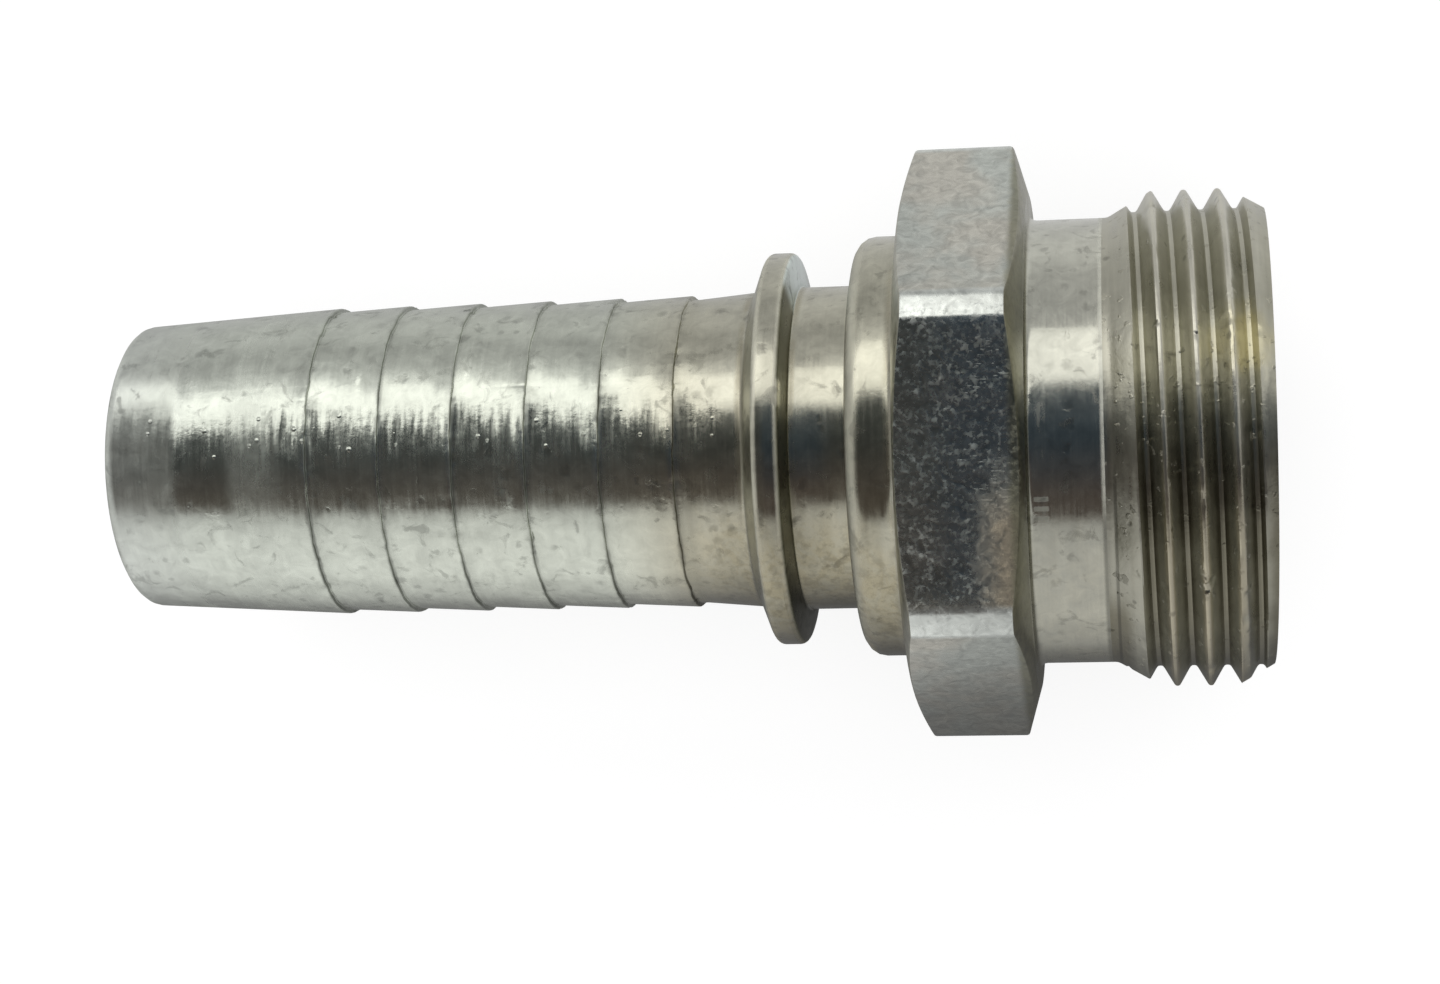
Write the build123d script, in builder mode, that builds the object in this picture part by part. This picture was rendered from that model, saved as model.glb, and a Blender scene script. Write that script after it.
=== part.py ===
"""Hydraulic hose tail, turned from one length of hexagon bar: a serrated spigot with a ferrule
lock, a spanner hexagon and an M30 x 2 threaded end with a 24 degree cone seat for a 22 mm tube.

Frame, in millimetres: the axis lies along X with the thread towards +X, one flat of the hexagon
faces down and one up, and the origin is on the axis where the threaded end leaves the hexagon.
"""
import os
from math import radians, tan

from build123d import *

# Threaded end, light series for 22 mm tube, M30 x 2, drawn at its major diameter
thread_diameter = 30.0
end_length = 14.0
end_chamfer = 1.25
undercut_diameter = 27.0
undercut_width = 4.4
lead_angle = 30.0

# Cone seat, tube socket and flow bore
cone_mouth = 24.3
cone_angle = 24.0
tube_diameter = 22.0
tube_depth = 7.5
flow_bore = 15.0
flow_bore_chamfer = 0.6

# Hexagon
across_flats = 32.0
corner_diameter = 36.1
hex_length = 7.4
hex_chamfer_angle = 16.0
thread_side_chamfer = 0.85
spigot_side_chamfer = 0.7

# Shoulder and the groove that the ferrule is crimped into
shoulder_diameter = 25.8
shoulder_length = 3.1
shoulder_round = 1.2
shoulder_fillet = 0.8
groove_diameter = 19.9
groove_width = 3.5

# Lock bead, steep towards the groove and sloped towards the hose
bead_diameter = 24.2
bead_width = 2.75
bead_steep_flank = 0.35
bead_sloped_flank = 0.9
bead_round = 0.4
bead_fillet = 0.4

# Serrated spigot for a 19 mm hose, each barb named by its crest
spigot_diameter = 19.5
barb_diameter = 19.35
barb_depth = 0.25
barb_count = 6
barb_pitch = 4.5
first_barb_gap = 4.15

# Plain lead-in that the hose starts on
lead_in_length = 13.1
tip_diameter = 17.8
tip_round = 1.3

os.makedirs("parts", exist_ok=True)

shoulder_face = -hex_length - shoulder_length
bead_front = shoulder_face - groove_width
bead_back = bead_front - bead_width
first_barb = bead_back - first_barb_gap
last_barb = first_barb - (barb_count - 1) * barb_pitch
tip_face = last_barb - lead_in_length
thread_rise = (thread_diameter - undercut_diameter) / 2 / tan(radians(lead_angle))


def barb_points():
    """Spigot outline from the bead to the last barb. Each barb rises gently from the tip side to
    a sharp crest and drops straight down on the hexagon side, so that the hose can't creep off."""
    crest = barb_diameter / 2
    foot = crest - barb_depth
    points = [(bead_back, spigot_diameter / 2)]
    for number in range(barb_count):
        edge = first_barb - number * barb_pitch
        points.append((edge, foot))
        points.append((edge, crest))
    return points


def corners_at(sketch, radius, station=None):
    """Corners of a half section at one radius, and at one station along the axis if given."""
    found = sketch.vertices().filter_by(lambda v: abs(v.Z - radius) < 0.01)
    if station is not None:
        found = found.filter_by(lambda v: abs(v.X - station) < 0.01)
    return found


with BuildPart() as hose_tail:
    # Hexagon bar, its two ends turned off at the same angle as a nut's
    with BuildSketch(Plane.YZ):
        RegularPolygon(across_flats / 2, 6, major_radius=False)
    extrude(amount=-hex_length)
    with BuildSketch(Plane.XZ):
        with BuildLine():
            slope = tan(radians(hex_chamfer_angle))
            Polyline(
                (0, 0),
                (0, corner_diameter / 2 - thread_side_chamfer / slope),
                (-thread_side_chamfer, corner_diameter / 2),
                (spigot_side_chamfer - hex_length, corner_diameter / 2),
                (-hex_length, corner_diameter / 2 - spigot_side_chamfer / slope),
                (-hex_length, 0),
                close=True,
            )
        make_face()
    revolve(axis=Axis.X, mode=Mode.INTERSECT)

    # Threaded end with its undercut
    with BuildSketch(Plane.XZ):
        with BuildLine():
            Polyline(
                (-hex_length, 0),
                (-hex_length, undercut_diameter / 2),
                (undercut_width, undercut_diameter / 2),
                (undercut_width + thread_rise, thread_diameter / 2),
                (end_length - end_chamfer / tan(radians(lead_angle)), thread_diameter / 2),
                (end_length, thread_diameter / 2 - end_chamfer),
                (end_length, 0),
                close=True,
            )
        make_face()
    revolve(axis=Axis.X)

    # Shoulder, ferrule groove, lock bead, barbs and lead-in
    with BuildSketch(Plane.XZ) as spigot_section:
        with BuildLine():
            Polyline(
                (0, 0),
                (0, shoulder_diameter / 2),
                (shoulder_face, shoulder_diameter / 2),
                (shoulder_face, groove_diameter / 2),
                (bead_front, groove_diameter / 2),
                (bead_front - bead_steep_flank, bead_diameter / 2),
                (bead_back + bead_sloped_flank, bead_diameter / 2),
                *barb_points(),
                (tip_face, tip_diameter / 2),
                (tip_face, 0),
                close=True,
            )
        make_face()
        fillet(corners_at(spigot_section, shoulder_diameter / 2, shoulder_face), shoulder_round)
        fillet(corners_at(spigot_section, bead_diameter / 2), bead_round)
        fillet(corners_at(spigot_section, spigot_diameter / 2, bead_back), bead_fillet)
        fillet(corners_at(spigot_section, tip_diameter / 2, tip_face), tip_round)
    revolve(axis=Axis.X)

    # Small fillet where the shoulder meets the hexagon
    shoulder_root = (
        hose_tail.edges()
        .filter_by(GeomType.CIRCLE)
        .filter_by(lambda e: abs(e.radius - shoulder_diameter / 2) < 0.01)
        .sort_by(Axis.X)[-1]
    )
    fillet(shoulder_root, shoulder_fillet)

    # Cone seat, tube socket and flow bore
    with BuildSketch(Plane.XZ):
        with BuildLine():
            cone_depth = (cone_mouth - tube_diameter) / 2 / tan(radians(cone_angle / 2))
            Polyline(
                (end_length, 0),
                (end_length, cone_mouth / 2),
                (end_length - cone_depth, tube_diameter / 2),
                (end_length - tube_depth, tube_diameter / 2),
                (end_length - tube_depth, flow_bore / 2),
                (tip_face + flow_bore_chamfer, flow_bore / 2),
                (tip_face, flow_bore / 2 + flow_bore_chamfer),
                (tip_face, 0),
                close=True,
            )
        make_face()
    revolve(axis=Axis.X, mode=Mode.SUBTRACT)

hose_tail.part.label = "hose_tail"
export_step(hose_tail.part, "parts/hose_tail.step")
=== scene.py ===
from math import cos, pi, radians, sin, tan

import bmesh
import bpy
from mathutils import Matrix, Vector


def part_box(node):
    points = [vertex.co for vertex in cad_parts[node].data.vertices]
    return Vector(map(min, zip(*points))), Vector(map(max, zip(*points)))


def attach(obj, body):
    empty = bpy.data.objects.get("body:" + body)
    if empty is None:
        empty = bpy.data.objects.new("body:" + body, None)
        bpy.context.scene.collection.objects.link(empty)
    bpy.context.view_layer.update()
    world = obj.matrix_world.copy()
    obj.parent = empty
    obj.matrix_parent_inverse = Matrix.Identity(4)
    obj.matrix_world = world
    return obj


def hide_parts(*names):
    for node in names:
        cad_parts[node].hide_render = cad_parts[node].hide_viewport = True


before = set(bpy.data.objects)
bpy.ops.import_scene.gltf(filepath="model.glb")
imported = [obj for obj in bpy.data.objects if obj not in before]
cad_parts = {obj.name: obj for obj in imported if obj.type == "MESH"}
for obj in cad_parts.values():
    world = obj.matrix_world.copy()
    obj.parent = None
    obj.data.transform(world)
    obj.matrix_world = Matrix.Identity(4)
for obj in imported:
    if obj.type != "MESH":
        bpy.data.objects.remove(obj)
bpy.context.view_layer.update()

mm = 0.001
sewing = 0.0008 * mm  # points nearer than this become one
low, high = (corner / mm for corner in map(Vector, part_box("hose_tail")))

# Stations run along X, from the thread side of the hexagon, in millimetres
endFace = high.x
tipFace = low.x
apothem = high.z
cornerRadius = high.y

columns = {
    "coarse": 15,  # columns on half of a hexagon flat
    "fine": 8,  # columns from there to the middle of the corner
    "coarseAngle": 26.8,  # degrees that the coarse ones cover
}
columnCount = 12 * (columns["coarse"] + columns["fine"])


class building:  # the node tree that the functions below add to
    tree = None


nodeSheet = {"columns": 14, "across": 190, "down": 230}  # how the nodes are laid out


def addNode(kind, **settings):
    nodes, sheet = building.tree.nodes, nodeSheet
    node = nodes.new(kind)
    down, across = divmod(len(nodes), sheet["columns"])
    node.location = (across * sheet["across"], -down * sheet["down"])
    for name, value in settings.items():
        setattr(node, name, value)
    return node


# A link if the value is a socket, a constant if it isn't
def plug(socket, value):
    if isinstance(value, bpy.types.NodeSocket):
        building.tree.links.new(value, socket)
    elif value is not None:
        socket.default_value = value


def calc(operation, *values):
    node = addNode("ShaderNodeMath", operation=operation)
    for socket, value in zip(node.inputs, values):
        plug(socket, value)
    return node.outputs[0]


def vectorCalc(operation, *values):
    node = addNode("ShaderNodeVectorMath", operation=operation)
    for socket, value in zip(node.inputs, values):
        plug(socket, value)
    return node.outputs["Value" if operation in ("LENGTH", "DOT_PRODUCT", "DISTANCE") else "Vector"]


def scaled(vector, factor):
    node = addNode("ShaderNodeVectorMath", operation="SCALE")
    plug(node.inputs[0], vector)
    plug(node.inputs["Scale"], factor)
    return node.outputs["Vector"]


def combine(x=0.0, y=0.0, z=0.0):
    node = addNode("ShaderNodeCombineXYZ")
    for socket, value in zip(node.inputs, (x, y, z)):
        plug(socket, value)
    return node.outputs[0]


def separate(vector):
    node = addNode("ShaderNodeSeparateXYZ")
    plug(node.inputs[0], vector)
    return list(node.outputs)


def times(first, *others):
    for other in others:
        first = calc("MULTIPLY", first, other)
    return first


def most(first, *others):
    for other in others:
        first = calc("MAXIMUM", first, other)
    return first


def plus(first, second):
    return calc("ADD", first, second)


def less(first, second):
    return calc("SUBTRACT", first, second)


def mulAdd(value, factor, base):
    return calc("MULTIPLY_ADD", value, factor, base)


def ramp(value, start, end):
    node = addNode("ShaderNodeMapRange", interpolation_type="SMOOTHSTEP")
    plug(node.inputs["Value"], value)
    plug(node.inputs["From Min"], start)
    plug(node.inputs["From Max"], end)
    return node.outputs["Result"]


# 1 between full and fading, 0 before the start and after the end
def window(value, start, full, fading, end):
    return times(ramp(value, start, full), ramp(value, end, fading))


# The opposite: 0 in the middle of the range, 1 past lowFull and past highFull
def beyond(value, lowStart, lowFull, highStart, highFull):
    return most(ramp(value, lowStart, lowFull), ramp(value, highStart, highFull))


# 0 as far from a middle as the first distance, 1 as near as the second
def nearLine(value, middle, far, near):
    return ramp(calc("ABSOLUTE", less(value, middle)), far, near)


def mixColour(factor, first, second):
    node = addNode("ShaderNodeMix", data_type="RGBA")
    plug(node.inputs["Factor"], factor)
    for socket, value in ((node.inputs[6], first), (node.inputs[7], second)):
        if isinstance(value, (tuple, list)):
            value = (*value, 1)
        elif isinstance(value, float):
            value = (value, value, value, 1)
        plug(socket, value)
    return node.outputs[2]


def noise(place, scale=1.0, detail=2.0, grit=0.5, warp=0.0, stretch=None):
    if stretch:
        place = vectorCalc("MULTIPLY", place, stretch)
    node = addNode("ShaderNodeTexNoise")
    plug(node.inputs["Vector"], place)
    sockets = (node.inputs[name] for name in ("Scale", "Detail", "Roughness", "Distortion"))
    for socket, value in zip(sockets, (scale, detail, grit, warp)):
        socket.default_value = value
    return node.outputs[0]


# Levels or colours at given places along a line, blended in between
def alongLine(value, stops):
    start, end = stops[0][0], stops[-1][0]
    share = calc("DIVIDE", less(value, start), end - start)
    node = addNode("ShaderNodeValToRGB")
    plug(node.inputs[0], share)
    scale = node.color_ramp
    while len(scale.elements) < len(stops):
        scale.elements.new(1.0)
    for element, (place, level) in zip(scale.elements, stops):
        element.position = (place - start) / (end - start)
        element.color = (*level, 1) if isinstance(level, tuple) else (level, level, level, 1)
    return node.outputs["Color"]


def centred(value, amount):
    return times(less(value, 0.5), amount)


# 1 where the mask is 0, and 1 plus the amount where it is 1
def onePlus(mask, amount):
    return mulAdd(mask, amount, 1.0)


# A start with several values added: swinging about their middles, or in full
def withSwings(start, values, amounts):
    for value, amount in zip(values, amounts):
        start = plus(start, centred(value, amount))
    return start


def withMasks(start, masks, amounts):
    for mask, amount in zip(masks, amounts):
        start = mulAdd(mask, amount, start)
    return start


# A tone made darker or lighter by each mask in turn
def shaded(tone, masks, amounts):
    return times(tone, *(onePlus(mask, amount) for mask, amount in zip(masks, amounts)))


# Small round marks in a share of the cells of a scattered pattern
def pits(place, scale, size, share, spread=0.7, least=0.5, core=0.3):
    node = addNode("ShaderNodeTexVoronoi")
    plug(node.inputs["Vector"], place)
    node.inputs["Scale"].default_value = scale
    pick, luck, _ = separate(node.outputs["Color"])
    chosen = calc("LESS_THAN", pick, share)
    reach = mulAdd(luck, size * spread, size * least)
    near = ramp(calc("DIVIDE", node.outputs["Distance"], reach), 1.0, core)
    return times(near, chosen)


# An empty tree with one named input for each size
def newTree(name, sizes):
    tree = building.tree = bpy.data.node_groups.new(name, "GeometryNodeTree")
    tree.interface.new_socket("Geometry", in_out="INPUT", socket_type="NodeSocketGeometry")
    tree.interface.new_socket("Geometry", in_out="OUTPUT", socket_type="NodeSocketGeometry")
    for label, value in sizes.items():
        kind = "NodeSocketInt" if isinstance(value, int) else "NodeSocketFloat"
        tree.interface.new_socket(label, in_out="INPUT", socket_type=kind)
    tree.interface.new_socket("Finish", in_out="INPUT", socket_type="NodeSocketMaterial")
    return tree, addNode("NodeGroupInput").outputs


# A grid with one row for each point of the outline and one column for each angle
def gridOfRows(rows):
    grid = addNode("GeometryNodeMeshGrid")
    plug(grid.inputs["Vertices X"], rows)
    grid.inputs["Vertices Y"].default_value = columnCount + 1
    index = addNode("GeometryNodeInputIndex").outputs[0]
    row = calc("FLOOR", calc("DIVIDE", plus(index, 0.5), columnCount + 1.0))
    column = less(index, times(row, columnCount + 1.0))
    return grid.outputs["Mesh"], row, column


# Angle of a column about X, and its angle from the middle of its flat, both in radians. Columns
# crowd at the hexagon's corners, where its edges are.
def columnAngle(column):
    half = columns["coarse"] + columns["fine"]
    coarseReach = radians(columns["coarseAngle"])
    sector = calc("FLOOR", calc("DIVIDE", plus(column, 0.5), 2.0 * half))
    offset = less(less(column, times(sector, 2.0 * half)), half)
    steps = calc("ABSOLUTE", offset)
    fineStep = (radians(30) - coarseReach) / columns["fine"]
    near = times(steps, coarseReach / columns["coarse"])
    far = mulAdd(less(steps, float(columns["coarse"])), fineStep, coarseReach)
    fromFlat = times(calc("MINIMUM", near, far), calc("SIGN", offset))
    middle = mulAdd(sector, radians(60), radians(30))
    return plus(middle, fromFlat), fromFlat


# The point at a station, radius and angle
def aroundAxis(station, radius, angle):
    y = times(radius, calc("COSINE", angle))
    z = times(radius, calc("SINE", angle))
    return combine(station, y, z)


# Moves the grid's points to their places in metres, drops what collapsed and gives the finish
def endTree(mesh, place, finish):
    moved = addNode("GeometryNodeSetPosition")
    plug(moved.inputs["Geometry"], mesh)
    plug(moved.inputs["Position"], scaled(place, mm))
    merged = addNode("GeometryNodeMergeByDistance")
    merged.inputs["Distance"].default_value = sewing
    painted = addNode("GeometryNodeSetMaterial")
    plug(painted.inputs["Material"], finish)
    chain = [moved, merged, addNode("GeometryNodeRealizeInstances"), painted,
             addNode("NodeGroupOutput")]
    for first, second in zip(chain, chain[1:]):
        plug(second.inputs["Geometry"], first.outputs["Geometry"])


# Evaluates a tree on a carrier object and returns the result as a plain mesh
def runTree(name, tree, sizes, finish, mesh=None):
    carrier = bpy.data.objects.new(name, mesh or bpy.data.meshes.new(name))
    bpy.context.collection.objects.link(carrier)
    modifier = carrier.modifiers.new("nodes", "NODES")
    modifier.node_group = tree
    for item in tree.interface.items_tree:
        if item.item_type == "SOCKET" and item.in_out == "INPUT" and item.name in sizes:
            modifier[item.identifier] = sizes[item.name]
        elif item.item_type == "SOCKET" and item.name == "Finish":
            modifier[item.identifier] = finish
    carrier.update_tag()
    depsgraph = bpy.context.evaluated_depsgraph_get()
    result = bpy.data.meshes.new_from_object(carrier.evaluated_get(depsgraph), depsgraph=depsgraph)
    bpy.data.objects.remove(carrier)
    print("made", name, len(result.vertices), "points")
    return result


spigot = {
    "shoulderRadius": 12.9,
    "shoulderEnd": -10.5,
    "shoulderRound": 1.2,
    "shoulderFillet": 0.8,
    "grooveRadius": 9.95,
    "grooveWidth": 3.5,
    "grooveFillet": 0.15,
    "beadRadius": 12.1,
    "beadWidth": 2.75,
    "beadSteepFlank": 0.35,
    "beadSlopedFlank": 0.9,
    "beadRound": 0.4,
    "beadFillet": 0.4,
    "rootRadius": 9.75,
    "barbRadius": 9.675,
    "barbDepth": 0.25,
    "barbCount": 6,
    "barbPitch": 4.5,
    "barbWander": 0.24,  # how unevenly the barb edges run
    "barbReach": 0.5,  # how far from the edge that is felt
    "barbFoot": 0.06,  # rounding of the corner in front of an edge
    "barbEdge": 0.08,  # and of the edge itself
    "wanderPattern": (0.55, 3.0, 0.65),  # scale, detail and grit
    "wanderSpread": 1.3,
    "nickPattern": (0.8, 2.0, 0.5),
    "nicksFrom": (0.60, 0.72),
    "nickDepth": 0.45,
    "firstBarb": -20.9,
    "tipRadius": 8.9,
    "tipRound": 1.3,
    "patternRadius": 9.0,
    "roundingSteps": 4,
}
bores = {
    "flowRadius": 7.5,
    "tipChamfer": 0.6,
    "tubeRadius": 11.0,
    "tubeDepth": 7.5,
    "mouthRadius": 12.15,
    "coneAngle": 24.0,
    "edge": 0.1,
    "mouthEdge": 0.12,
    "socketFillet": 0.2,
}
hexagon = {
    "Back": -7.4,
    "Back chamfer": 0.7,
    "Front chamfer": 0.85,
    "Chamfer angle": 16.0,
    "Flat distance": apothem,
    "Corner radius": cornerRadius,
    "Face radius": 15.0,
    "Edge": 0.14,
}
thread = {
    "Pitch": 2.0,
    "Major radius": 15.0,
    "Root radius": 13.77,
    "Undercut radius": 13.5,
    "Lead angle": 30.0,
    "End chamfer": 1.25,
    "End face": endFace,
    "Crest station": 9.27,
    "Rows per pitch": 24,
    "Start row": 115,
    "Undercut fillet": 0.30,
    "Crest softness": 0.12,
    "Root softness": 0.25,
    "Dent depth": 0.14,
}
threadDents = {
    "pattern": (0.75, 2.0, 0.5),  # scale, detail and grit
    "patternRadius": 15.0,
    "from": (0.62, 0.72),
    "clearOfStart": (0.8, 1.2),  # no dents before the first distance, all past the second
    "clearOfEnd": (0.0, 0.3),
    "nicks": [  # station, degrees from straight up towards +Y, reach
        (10.9, 27.0, 0.9), (11.2, 30.5, 0.6), (13.2, 36.0, 0.8), (12.9, 29.0, 0.5),
        (13.0, 25.5, 0.5), (7.2, -33.0, 0.5), (7.4, -44.0, 0.5), (11.4, -22.0, 0.8),
        (6.8, -1.0, 0.7), (8.2, -3.0, 0.5),
    ],
    "nickCore": 0.3,  # share of the reach that is at full depth
}
neckFillet = 0.45
undercutEnd = endFace - thread["Start row"] * thread["Pitch"] / thread["Rows per pitch"]


# Corners from the hexagon's back face round the tip and back through the bores to the end face,
# each with its station, radius and rounding
def bodyOutline():
    s, b = spigot, bores
    back = hexagon["Back"]
    beadFront = s["shoulderEnd"] - s["grooveWidth"]
    beadBack = beadFront - s["beadWidth"]
    corners = [
        (back, hexagon["Face radius"], 0),
        (back, s["shoulderRadius"], s["shoulderFillet"]),
        (s["shoulderEnd"], s["shoulderRadius"], s["shoulderRound"]),
        (s["shoulderEnd"], s["grooveRadius"], s["grooveFillet"]),
        (beadFront, s["grooveRadius"], s["grooveFillet"]),
        (beadFront - s["beadSteepFlank"], s["beadRadius"], s["beadRound"]),
        (beadBack + s["beadSlopedFlank"], s["beadRadius"], s["beadRound"]),
        (beadBack, s["rootRadius"], s["beadFillet"]),
    ]
    top, reach, wander = s["barbRadius"], s["barbReach"], s["barbWander"]
    root = top - s["barbDepth"]
    before = 0  # slope of the length on the thread's side of an edge
    for number in range(s["barbCount"]):
        edge = s["firstBarb"] - number * s["barbPitch"]
        slope = s["barbDepth"] / s["barbPitch"]
        if number == s["barbCount"] - 1:
            slope = (top - s["tipRadius"]) / (edge - tipFace)
        corners += [
            (edge + reach, root + before * reach, 0),
            (edge, root, s["barbFoot"], wander),
            (edge, top, s["barbEdge"], wander),
            (edge - reach, top - slope * reach, 0),
        ]
        before = slope
    coneDepth = (b["mouthRadius"] - b["tubeRadius"]) / tan(radians(b["coneAngle"] / 2))
    corners += [
        (tipFace, s["tipRadius"], s["tipRound"]),
        (tipFace, b["flowRadius"] + b["tipChamfer"], b["edge"]),
        (tipFace + b["tipChamfer"], b["flowRadius"], b["edge"]),
        (endFace - b["tubeDepth"], b["flowRadius"], b["edge"]),
        (endFace - b["tubeDepth"], b["tubeRadius"], b["socketFillet"]),
        (endFace - coneDepth, b["tubeRadius"], 0),
        (endFace, b["mouthRadius"], b["mouthEdge"]),
        (endFace, thread["Major radius"] - thread["End chamfer"], 0),
    ]
    return corners


# Corners from the hexagon's front face down into the undercut and along it
def neckOutline():
    drop = hexagon["Front chamfer"] / tan(radians(hexagon["Chamfer angle"]))
    return [
        (0, cornerRadius - drop, 0),
        (0, thread["Undercut radius"], neckFillet),
        (undercutEnd, thread["Undercut radius"], 0),
    ]


# The outline as a chain of edges in the XY plane, in millimetres
def outlineMesh(name, corners):
    mesh = bpy.data.meshes.new(name)
    edges = [(i, i + 1) for i in range(len(corners) - 1)]
    mesh.from_pydata([(corner[0], corner[1], 0) for corner in corners], edges, [])
    for name, column in (("rounding", 2), ("wander", 3)):
        values = mesh.attributes.new(name, "FLOAT", "POINT").data
        for point, corner in zip(values, corners):
            point.value = corner[column] if len(corner) > column else 0.0
    return mesh


def namedValue(name):
    node = addNode("GeometryNodeInputNamedAttribute", data_type="FLOAT")
    node.inputs["Name"].default_value = name
    return node.outputs["Attribute"]


# Rounds the corners of the carrier's outline and turns it about X, with the barb edges uneven
def revolveTree():
    s = spigot
    tree, given = newTree("turnedSurface", {"Rounding steps": s["roundingSteps"]})
    toCurve = addNode("GeometryNodeMeshToCurve")
    plug(toCurve.inputs["Mesh"], given["Geometry"])
    rounded = addNode("GeometryNodeFilletCurve", mode="POLY")
    plug(rounded.inputs["Curve"], toCurve.outputs["Curve"])
    plug(rounded.inputs["Count"], given["Rounding steps"])
    plug(rounded.inputs["Radius"], namedValue("rounding"))
    plug(rounded.inputs["Limit Radius"], True)
    size = addNode("GeometryNodeAttributeDomainSize", component="CURVE")
    plug(size.inputs["Geometry"], rounded.outputs["Curve"])
    mesh, row, column = gridOfRows(size.outputs["Point Count"])
    sampled = []
    for kind, value in (("FLOAT_VECTOR", addNode("GeometryNodeInputPosition").outputs[0]),
                        ("FLOAT", namedValue("wander"))):
        sample = addNode("GeometryNodeSampleIndex", data_type=kind, domain="POINT")
        plug(sample.inputs["Geometry"], rounded.outputs["Curve"])
        plug(sample.inputs["Value"], value)
        plug(sample.inputs["Index"], row)
        sampled.append(sample.outputs[0])
    station, radius, _ = separate(sampled[0])
    wander = sampled[1]
    angle, _ = columnAngle(column)
    around = aroundAxis(station, s["patternRadius"], angle)
    uneven = centred(noise(around, *s["wanderPattern"]), s["wanderSpread"])
    station = mulAdd(wander, uneven, station)
    nicked = ramp(noise(around, *s["nickPattern"]), *s["nicksFrom"])
    radius = less(radius, times(nicked, wander, s["nickDepth"]))
    endTree(mesh, aroundAxis(station, radius, angle), given["Finish"])
    return tree


# Each column is a short outline: back face, chamfer, flat, chamfer, front face. Its corners
# follow the arcs that the turned chamfers cut on the flats, and each is rounded in two steps.
def hexagonTree():
    roomShare = 0.45  # of the way to the next corner, at the most
    bulge = 0.29  # how far the middle of a rounding keeps from its corner, of its reach
    rowCount = 11
    tree, given = newTree("hexagon", hexagon)
    mesh, row, column = gridOfRows(rowCount)
    angle, fromFlat = columnAngle(column)
    slope = calc("TANGENT", calc("RADIANS", given["Chamfer angle"]))
    flat = calc("DIVIDE", given["Flat distance"], calc("COSINE", fromFlat))
    top = calc("SMOOTH_MIN", flat, given["Corner radius"], given["Edge"])
    backRim, frontRim = (less(given["Corner radius"], calc("DIVIDE", given[name], slope))
                         for name in ("Back chamfer", "Front chamfer"))
    backTop = calc("MINIMUM", top, backRim)
    backArc = mulAdd(less(top, backTop), slope, given["Back"])
    corners = [
        combine(given["Back"], given["Face radius"]),
        combine(given["Back"], backTop),
        combine(backArc, top),
        combine(times(less(frontRim, top), slope), top),
        combine(0.0, frontRim),
    ]
    rows = [corners[0]]
    for before, corner, after in zip(corners, corners[1:], corners[2:]):
        toBefore, toAfter = (vectorCalc("NORMALIZE", vectorCalc("SUBTRACT", end, corner))
                             for end in (before, after))
        between = vectorCalc("ADD", toBefore, toAfter)
        room = calc("MINIMUM", *(vectorCalc("DISTANCE", end, corner) for end in (before, after)))
        reach = calc("MINIMUM", given["Edge"], times(room, roomShare))
        for way, share in ((toBefore, 1.0), (between, bulge), (toAfter, 1.0)):
            rows.append(vectorCalc("ADD", corner, scaled(way, times(reach, share))))
    rows.append(corners[-1])
    pick = addNode("GeometryNodeIndexSwitch", data_type="VECTOR")
    while len(pick.index_switch_items) < rowCount:
        pick.index_switch_items.new()
    plug(pick.inputs["Index"], row)
    for socket, place in zip(list(pick.inputs)[1:], rows):
        plug(socket, place)
    station, radius, _ = separate(pick.outputs[0])
    endTree(mesh, aroundAxis(station, radius, angle), given["Finish"])
    return tree


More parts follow.
